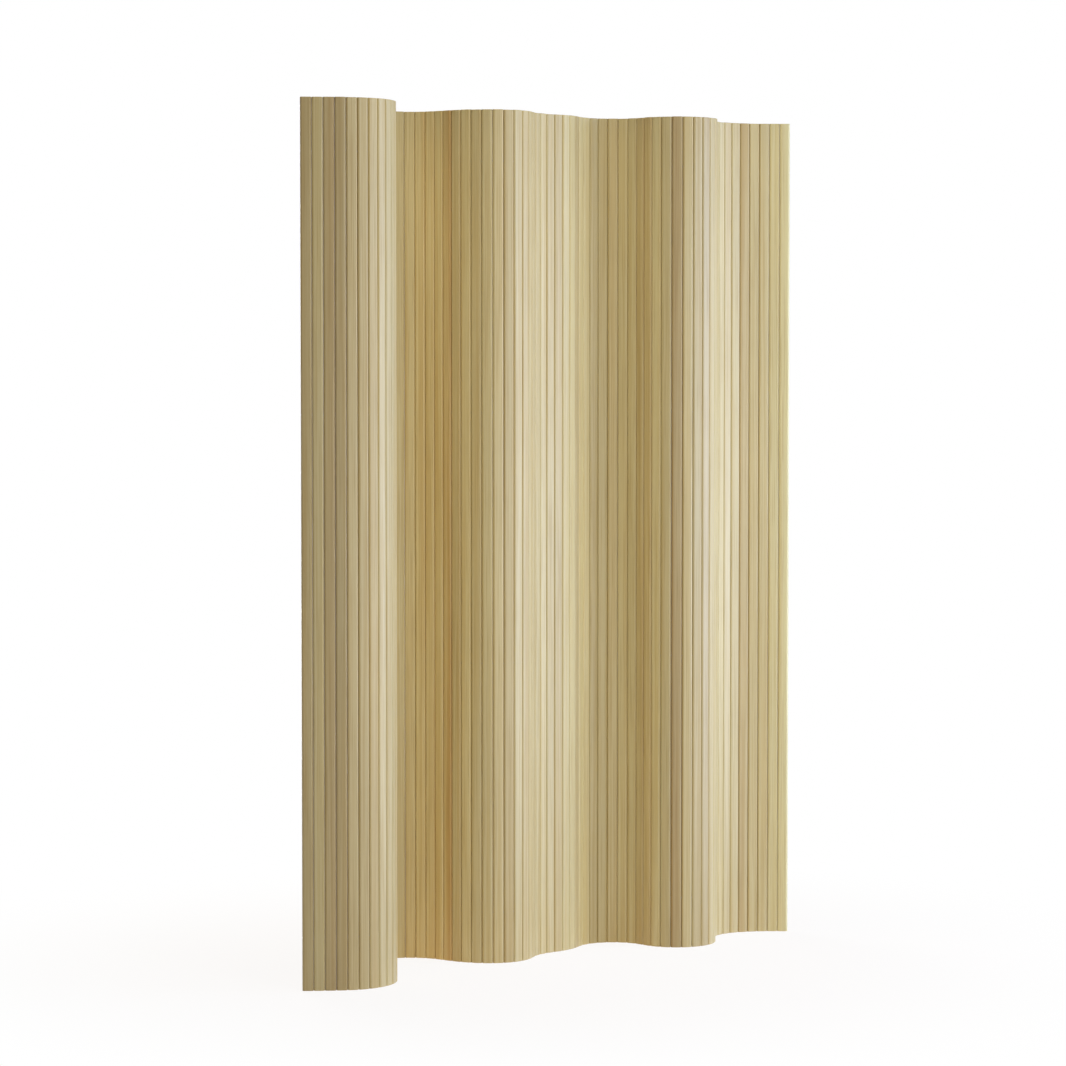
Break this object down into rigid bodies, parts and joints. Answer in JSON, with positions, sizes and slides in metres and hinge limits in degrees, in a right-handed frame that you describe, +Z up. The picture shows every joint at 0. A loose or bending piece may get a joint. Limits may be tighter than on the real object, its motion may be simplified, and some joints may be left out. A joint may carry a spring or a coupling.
{
  "type": "flexible slatted screen",
  "caption": "Free-standing room screen of upright round-edged pine slats threaded edge to edge on steel wires, so that it bends into any wavy line or folds up.",
  "frame": {"origin": "middle of the box round the screen, on the floor", "axes": "+Z up along the slats, +X from the left end slat towards the right end slat, +Y towards the back"},
  "size_m": [1.078, 0.2484, 1.5],
  "materials": {
    "pine": "clear satin lacquer",
    "steel": "stranded, bright"
  },
  "bodies": {
    "slats_01_02": {"slats_01_02": "pine", "left_crimps": "steel"},
    "slats_03_04": {"slats_03_04": "pine"},
    "slats_05_06": {"slats_05_06": "pine"},
    "slats_07_08": {"slats_07_08": "pine"},
    "slats_09_10": {"slats_09_10": "pine"},
    "slats_11_12": {"slats_11_12": "pine"},
    "slat_13": {"slat_13": "pine"},
    "slat_14": {"slat_14": "pine"},
    "slats_15_16": {"slats_15_16": "pine"},
    "slats_17_18": {"slats_17_18": "pine"},
    "slats_19_20": {"slats_19_20": "pine"},
    "slat_21": {"slat_21": "pine"},
    "slat_22": {"slat_22": "pine"},
    "slat_23": {"slat_23": "pine"},
    "slat_24": {"slat_24": "pine"},
    "slat_25": {"slat_25": "pine"},
    "slat_26": {"slat_26": "pine"},
    "slat_27": {"slat_27": "pine"},
    "slat_28": {"slat_28": "pine"},
    "slat_29": {"slat_29": "pine"},
    "slat_30": {"slat_30": "pine"},
    "slats_31_32": {"slats_31_32": "pine"},
    "slats_33_34": {"slats_33_34": "pine"},
    "slats_35_36": {"slats_35_36": "pine"},
    "slat_37": {"slat_37": "pine"},
    "slat_38": {"slat_38": "pine"},
    "slat_39": {"slat_39": "pine"},
    "slat_40": {"slat_40": "pine"},
    "slats_41_42": {"slats_41_42": "pine", "wires": "steel"},
    "slats_43_44": {"slats_43_44": "pine"},
    "slats_45_46": {"slats_45_46": "pine"},
    "slats_47_48": {"slats_47_48": "pine"},
    "slats_49_50": {"slats_49_50": "pine"},
    "slat_51": {"slat_51": "pine"},
    "slat_52": {"slat_52": "pine"},
    "slat_53": {"slat_53": "pine"},
    "slat_54": {"slat_54": "pine"},
    "slat_55": {"slat_55": "pine"},
    "slat_56": {"slat_56": "pine"},
    "slats_57_58": {"slats_57_58": "pine"},
    "slat_59": {"slat_59": "pine"},
    "slat_60": {"slat_60": "pine"},
    "slat_61": {"slat_61": "pine"},
    "slat_62": {"slat_62": "pine"},
    "slat_63": {"slat_63": "pine"},
    "slat_64": {"slat_64": "pine"},
    "slat_65": {"slat_65": "pine"},
    "slat_66": {"slat_66": "pine"},
    "slats_67_68": {"slats_67_68": "pine"},
    "slat_69": {"slat_69": "pine"},
    "slat_70": {"slat_70": "pine"},
    "slat_71": {"slat_71": "pine"},
    "slat_72": {"slat_72": "pine"},
    "slat_73": {"slat_73": "pine"},
    "slats_74_75": {"slats_74_75": "pine"},
    "slat_76": {"slat_76": "pine"},
    "slats_77_78": {"slats_77_78": "pine", "right_crimps": "steel"}
  },
  "joints": [
    {"name": "hinge_02_03", "type": "hinge", "parent": "slats_03_04", "child": "slats_01_02", "pos_m": [-0.50623, -0.09144, 0.75], "axis": [0, 0, -1], "range_deg": [-20, 16], "deforming": ["wires"]},
    {"name": "hinge_04_05", "type": "hinge", "parent": "slats_05_06", "child": "slats_03_04", "pos_m": [-0.47296, -0.11023, 0.75], "axis": [0, 0, -1], "range_deg": [-25, 11], "deforming": ["wires"]},
    {"name": "hinge_06_07", "type": "hinge", "parent": "slats_07_08", "child": "slats_05_06", "pos_m": [-0.43633, -0.12036, 0.75], "axis": [0, 0, -1], "range_deg": [-30, 6], "deforming": ["wires"]},
    {"name": "hinge_08_09", "type": "hinge", "parent": "slats_09_10", "child": "slats_07_08", "pos_m": [-0.39875, -0.11471, 0.75], "axis": [0, 0, -1], "range_deg": [-30, 6], "deforming": ["wires"]},
    {"name": "hinge_10_11", "type": "hinge", "parent": "slats_11_12", "child": "slats_09_10", "pos_m": [-0.36672, -0.09426, 0.75], "axis": [0, 0, -1], "range_deg": [-30, 6], "deforming": ["wires"]},
    {"name": "hinge_12_13", "type": "hinge", "parent": "slat_13", "child": "slats_11_12", "pos_m": [-0.34577, -0.06256, 0.75], "axis": [0, 0, -1], "range_deg": [-30, 6], "deforming": ["wires"]},
    {"name": "hinge_13_14", "type": "hinge", "parent": "slat_14", "child": "slat_13", "pos_m": [-0.34068, -0.04414, 0.75], "axis": [0, 0, -1], "range_deg": [-30, 6], "deforming": ["wires"]},
    {"name": "hinge_14_15", "type": "hinge", "parent": "slats_15_16", "child": "slat_14", "pos_m": [-0.33953, -0.02507, 0.75], "axis": [0, 0, 1], "range_deg": [-6, 30], "deforming": ["wires"]},
    {"name": "hinge_16_17", "type": "hinge", "parent": "slats_17_18", "child": "slats_15_16", "pos_m": [-0.34553, 0.01266, 0.75], "axis": [0, 0, 1], "range_deg": [-28, 8], "deforming": ["wires"]},
    {"name": "hinge_18_19", "type": "hinge", "parent": "slats_19_20", "child": "slats_17_18", "pos_m": [-0.34192, 0.05056, 0.75], "axis": [0, 0, 1], "range_deg": [-28, 8], "deforming": ["wires"]},
    {"name": "hinge_20_21", "type": "hinge", "parent": "slat_21", "child": "slats_19_20", "pos_m": [-0.32527, 0.08476, 0.75], "axis": [0, 0, 1], "range_deg": [-30, 6], "deforming": ["wires"]},
    {"name": "hinge_21_22", "type": "hinge", "parent": "slat_22", "child": "slat_21", "pos_m": [-0.31213, 0.09863, 0.75], "axis": [0, 0, 1], "range_deg": [-30, 6], "deforming": ["wires"]},
    {"name": "hinge_22_23", "type": "hinge", "parent": "slat_23", "child": "slat_22", "pos_m": [-0.29639, 0.10946, 0.75], "axis": [0, 0, 1], "range_deg": [-30, 6], "deforming": ["wires"]},
    {"name": "hinge_23_24", "type": "hinge", "parent": "slat_24", "child": "slat_23", "pos_m": [-0.27875, 0.11679, 0.75], "axis": [0, 0, 1], "range_deg": [-30, 6], "deforming": ["wires"]},
    {"name": "hinge_24_25", "type": "hinge", "parent": "slat_25", "child": "slat_24", "pos_m": [-0.25997, 0.12029, 0.75], "axis": [0, 0, 1], "range_deg": [-30, 6], "deforming": ["wires"]},
    {"name": "hinge_25_26", "type": "hinge", "parent": "slat_26", "child": "slat_25", "pos_m": [-0.24087, 0.1198, 0.75], "axis": [0, 0, 1], "range_deg": [-30, 6], "deforming": ["wires"]},
    {"name": "hinge_26_27", "type": "hinge", "parent": "slat_27", "child": "slat_26", "pos_m": [-0.22229, 0.11535, 0.75], "axis": [0, 0, 1], "range_deg": [-30, 6], "deforming": ["wires"]},
    {"name": "hinge_27_28", "type": "hinge", "parent": "slat_28", "child": "slat_27", "pos_m": [-0.20503, 0.10714, 0.75], "axis": [0, 0, 1], "range_deg": [-30, 6], "deforming": ["wires"]},
    {"name": "hinge_28_29", "type": "hinge", "parent": "slat_29", "child": "slat_28", "pos_m": [-0.18987, 0.09553, 0.75], "axis": [0, 0, -1], "range_deg": [-6, 30], "deforming": ["wires"]},
    {"name": "hinge_29_30", "type": "hinge", "parent": "slat_30", "child": "slat_29", "pos_m": [-0.17745, 0.08101, 0.75], "axis": [0, 0, -1], "range_deg": [-6, 30], "deforming": ["wires"]},
    {"name": "hinge_30_31", "type": "hinge", "parent": "slats_31_32", "child": "slat_30", "pos_m": [-0.16832, 0.06423, 0.75], "axis": [0, 0, -1], "range_deg": [-6, 30], "deforming": ["wires"]},
    {"name": "hinge_32_33", "type": "hinge", "parent": "slats_33_34", "child": "slats_31_32", "pos_m": [-0.15808, 0.02742, 0.75], "axis": [0, 0, -1], "range_deg": [-26, 10], "deforming": ["wires"]},
    {"name": "hinge_34_35", "type": "hinge", "parent": "slats_35_36", "child": "slats_33_34", "pos_m": [-0.14104, -0.00668, 0.75], "axis": [0, 0, -1], "range_deg": [-26, 10], "deforming": ["wires"]},
    {"name": "hinge_36_37", "type": "hinge", "parent": "slat_37", "child": "slats_35_36", "pos_m": [-0.11449, -0.03389, 0.75], "axis": [0, 0, -1], "range_deg": [-33, 3], "deforming": ["wires"]},
    {"name": "hinge_37_38", "type": "hinge", "parent": "slat_38", "child": "slat_37", "pos_m": [-0.09717, -0.04195, 0.75], "axis": [0, 0, -1], "range_deg": [-33, 3], "deforming": ["wires"]},
    {"name": "hinge_38_39", "type": "hinge", "parent": "slat_39", "child": "slat_38", "pos_m": [-0.07835, -0.04526, 0.75], "axis": [0, 0, -1], "range_deg": [-33, 3], "deforming": ["wires"]},
    {"name": "hinge_39_40", "type": "hinge", "parent": "slat_40", "child": "slat_39", "pos_m": [-0.05932, -0.04358, 0.75], "axis": [0, 0, -1], "range_deg": [-33, 3], "deforming": ["wires"]},
    {"name": "hinge_40_41", "type": "hinge", "parent": "slats_41_42", "child": "slat_40", "pos_m": [-0.04137, -0.03703, 0.75], "axis": [0, 0, -1], "range_deg": [-33, 3], "deforming": ["wires"]},
    {"name": "hinge_42_43", "type": "hinge", "parent": "slats_41_42", "child": "slats_43_44", "pos_m": [-0.01048, -0.01454, 0.75], "axis": [0, 0, 1], "range_deg": [-7, 29], "deforming": ["wires"]},
    {"name": "hinge_44_45", "type": "hinge", "parent": "slats_43_44", "child": "slats_45_46", "pos_m": [0.02514, -0.0012, 0.75], "axis": [0, 0, -1], "range_deg": [-29, 7], "deforming": ["wires"]},
    {"name": "hinge_46_47", "type": "hinge", "parent": "slats_45_46", "child": "slats_47_48", "pos_m": [0.06327, 0.00125, 0.75], "axis": [0, 0, -1], "range_deg": [-8.5, 27.5], "deforming": ["wires"]},
    {"name": "hinge_48_49", "type": "hinge", "parent": "slats_47_48", "child": "slats_49_50", "pos_m": [0.09958, 0.01273, 0.75], "axis": [0, 0, -1], "range_deg": [-8.5, 27.5], "deforming": ["wires"]},
    {"name": "hinge_50_51", "type": "hinge", "parent": "slats_49_50", "child": "slat_51", "pos_m": [0.1326, 0.03193, 0.75], "axis": [0, 0, -1], "range_deg": [-34, 2], "deforming": ["wires"]},
    {"name": "hinge_51_52", "type": "hinge", "parent": "slat_51", "child": "slat_52", "pos_m": [0.15125, 0.03608, 0.75], "axis": [0, 0, -1], "range_deg": [-34, 2], "deforming": ["wires"]},
    {"name": "hinge_52_53", "type": "hinge", "parent": "slat_52", "child": "slat_53", "pos_m": [0.17032, 0.03493, 0.75], "axis": [0, 0, -1], "range_deg": [-34, 2], "deforming": ["wires"]},
    {"name": "hinge_53_54", "type": "hinge", "parent": "slat_53", "child": "slat_54", "pos_m": [0.18833, 0.02857, 0.75], "axis": [0, 0, -1], "range_deg": [-34, 2], "deforming": ["wires"]},
    {"name": "hinge_54_55", "type": "hinge", "parent": "slat_54", "child": "slat_55", "pos_m": [0.2039, 0.01749, 0.75], "axis": [0, 0, -1], "range_deg": [-34, 2], "deforming": ["wires"]},
    {"name": "hinge_55_56", "type": "hinge", "parent": "slat_55", "child": "slat_56", "pos_m": [0.2158, 0.00254, 0.75], "axis": [0, 0, -1], "range_deg": [-34, 2], "deforming": ["wires"]},
    {"name": "hinge_56_57", "type": "hinge", "parent": "slat_56", "child": "slats_57_58", "pos_m": [0.22313, -0.0151, 0.75], "axis": [0, 0, -1], "range_deg": [-34, 2], "deforming": ["wires"]},
    {"name": "hinge_58_59", "type": "hinge", "parent": "slats_57_58", "child": "slat_59", "pos_m": [0.2274, -0.05307, 0.75], "axis": [0, 0, -1], "range_deg": [-2.5, 33.5], "deforming": ["wires"]},
    {"name": "hinge_59_60", "type": "hinge", "parent": "slat_59", "child": "slat_60", "pos_m": [0.2345, -0.07081, 0.75], "axis": [0, 0, 1], "range_deg": [-33.5, 2.5], "deforming": ["wires"]},
    {"name": "hinge_60_61", "type": "hinge", "parent": "slat_60", "child": "slat_61", "pos_m": [0.24607, -0.08601, 0.75], "axis": [0, 0, 1], "range_deg": [-33.5, 2.5], "deforming": ["wires"]},
    {"name": "hinge_61_62", "type": "hinge", "parent": "slat_61", "child": "slat_62", "pos_m": [0.26129, -0.09756, 0.75], "axis": [0, 0, 1], "range_deg": [-33.5, 2.5], "deforming": ["wires"]},
    {"name": "hinge_62_63", "type": "hinge", "parent": "slat_62", "child": "slat_63", "pos_m": [0.27904, -0.10463, 0.75], "axis": [0, 0, 1], "range_deg": [-33.5, 2.5], "deforming": ["wires"]},
    {"name": "hinge_63_64", "type": "hinge", "parent": "slat_63", "child": "slat_64", "pos_m": [0.29804, -0.10669, 0.75], "axis": [0, 0, 1], "range_deg": [-33.5, 2.5], "deforming": ["wires"]},
    {"name": "hinge_64_65", "type": "hinge", "parent": "slat_64", "child": "slat_65", "pos_m": [0.31689, -0.10361, 0.75], "axis": [0, 0, 1], "range_deg": [-33.5, 2.5], "deforming": ["wires"]},
    {"name": "hinge_65_66", "type": "hinge", "parent": "slat_65", "child": "slat_66", "pos_m": [0.33424, -0.09559, 0.75], "axis": [0, 0, 1], "range_deg": [-33.5, 2.5], "deforming": ["wires"]},
    {"name": "hinge_66_67", "type": "hinge", "parent": "slat_66", "child": "slats_67_68", "pos_m": [0.34881, -0.08324, 0.75], "axis": [0, 0, 1], "range_deg": [-33.5, 2.5], "deforming": ["wires"]},
    {"name": "hinge_68_69", "type": "hinge", "parent": "slats_67_68", "child": "slat_69", "pos_m": [0.36994, -0.0514, 0.75], "axis": [0, 0, 1], "range_deg": [-5, 31], "deforming": ["wires"]},
    {"name": "hinge_69_70", "type": "hinge", "parent": "slat_69", "child": "slat_70", "pos_m": [0.38367, -0.03812, 0.75], "axis": [0, 0, 1], "range_deg": [-5, 31], "deforming": ["wires"]},
    {"name": "hinge_70_71", "type": "hinge", "parent": "slat_70", "child": "slat_71", "pos_m": [0.40004, -0.02827, 0.75], "axis": [0, 0, 1], "range_deg": [-5, 31], "deforming": ["wires"]},
    {"name": "hinge_71_72", "type": "hinge", "parent": "slat_71", "child": "slat_72", "pos_m": [0.41821, -0.02235, 0.75], "axis": [0, 0, -1], "range_deg": [-31, 5], "deforming": ["wires"]},
    {"name": "hinge_72_73", "type": "hinge", "parent": "slat_72", "child": "slat_73", "pos_m": [0.43724, -0.02067, 0.75], "axis": [0, 0, -1], "range_deg": [-31, 5], "deforming": ["wires"]},
    {"name": "hinge_73_74", "type": "hinge", "parent": "slat_73", "child": "slats_74_75", "pos_m": [0.45616, -0.02331, 0.75], "axis": [0, 0, -1], "range_deg": [-27.75, 8.25], "deforming": ["wires"]},
    {"name": "hinge_75_76", "type": "hinge", "parent": "slats_74_75", "child": "slat_76", "pos_m": [0.49179, -0.03696, 0.75], "axis": [0, 0, -1], "range_deg": [-24.5, 11.5], "deforming": ["wires"]},
    {"name": "hinge_76_77", "type": "hinge", "parent": "slat_76", "child": "slats_77_78", "pos_m": [0.50821, -0.04671, 0.75], "axis": [0, 0, -1], "range_deg": [-24.5, 11.5], "deforming": ["wires"]}
  ]
}
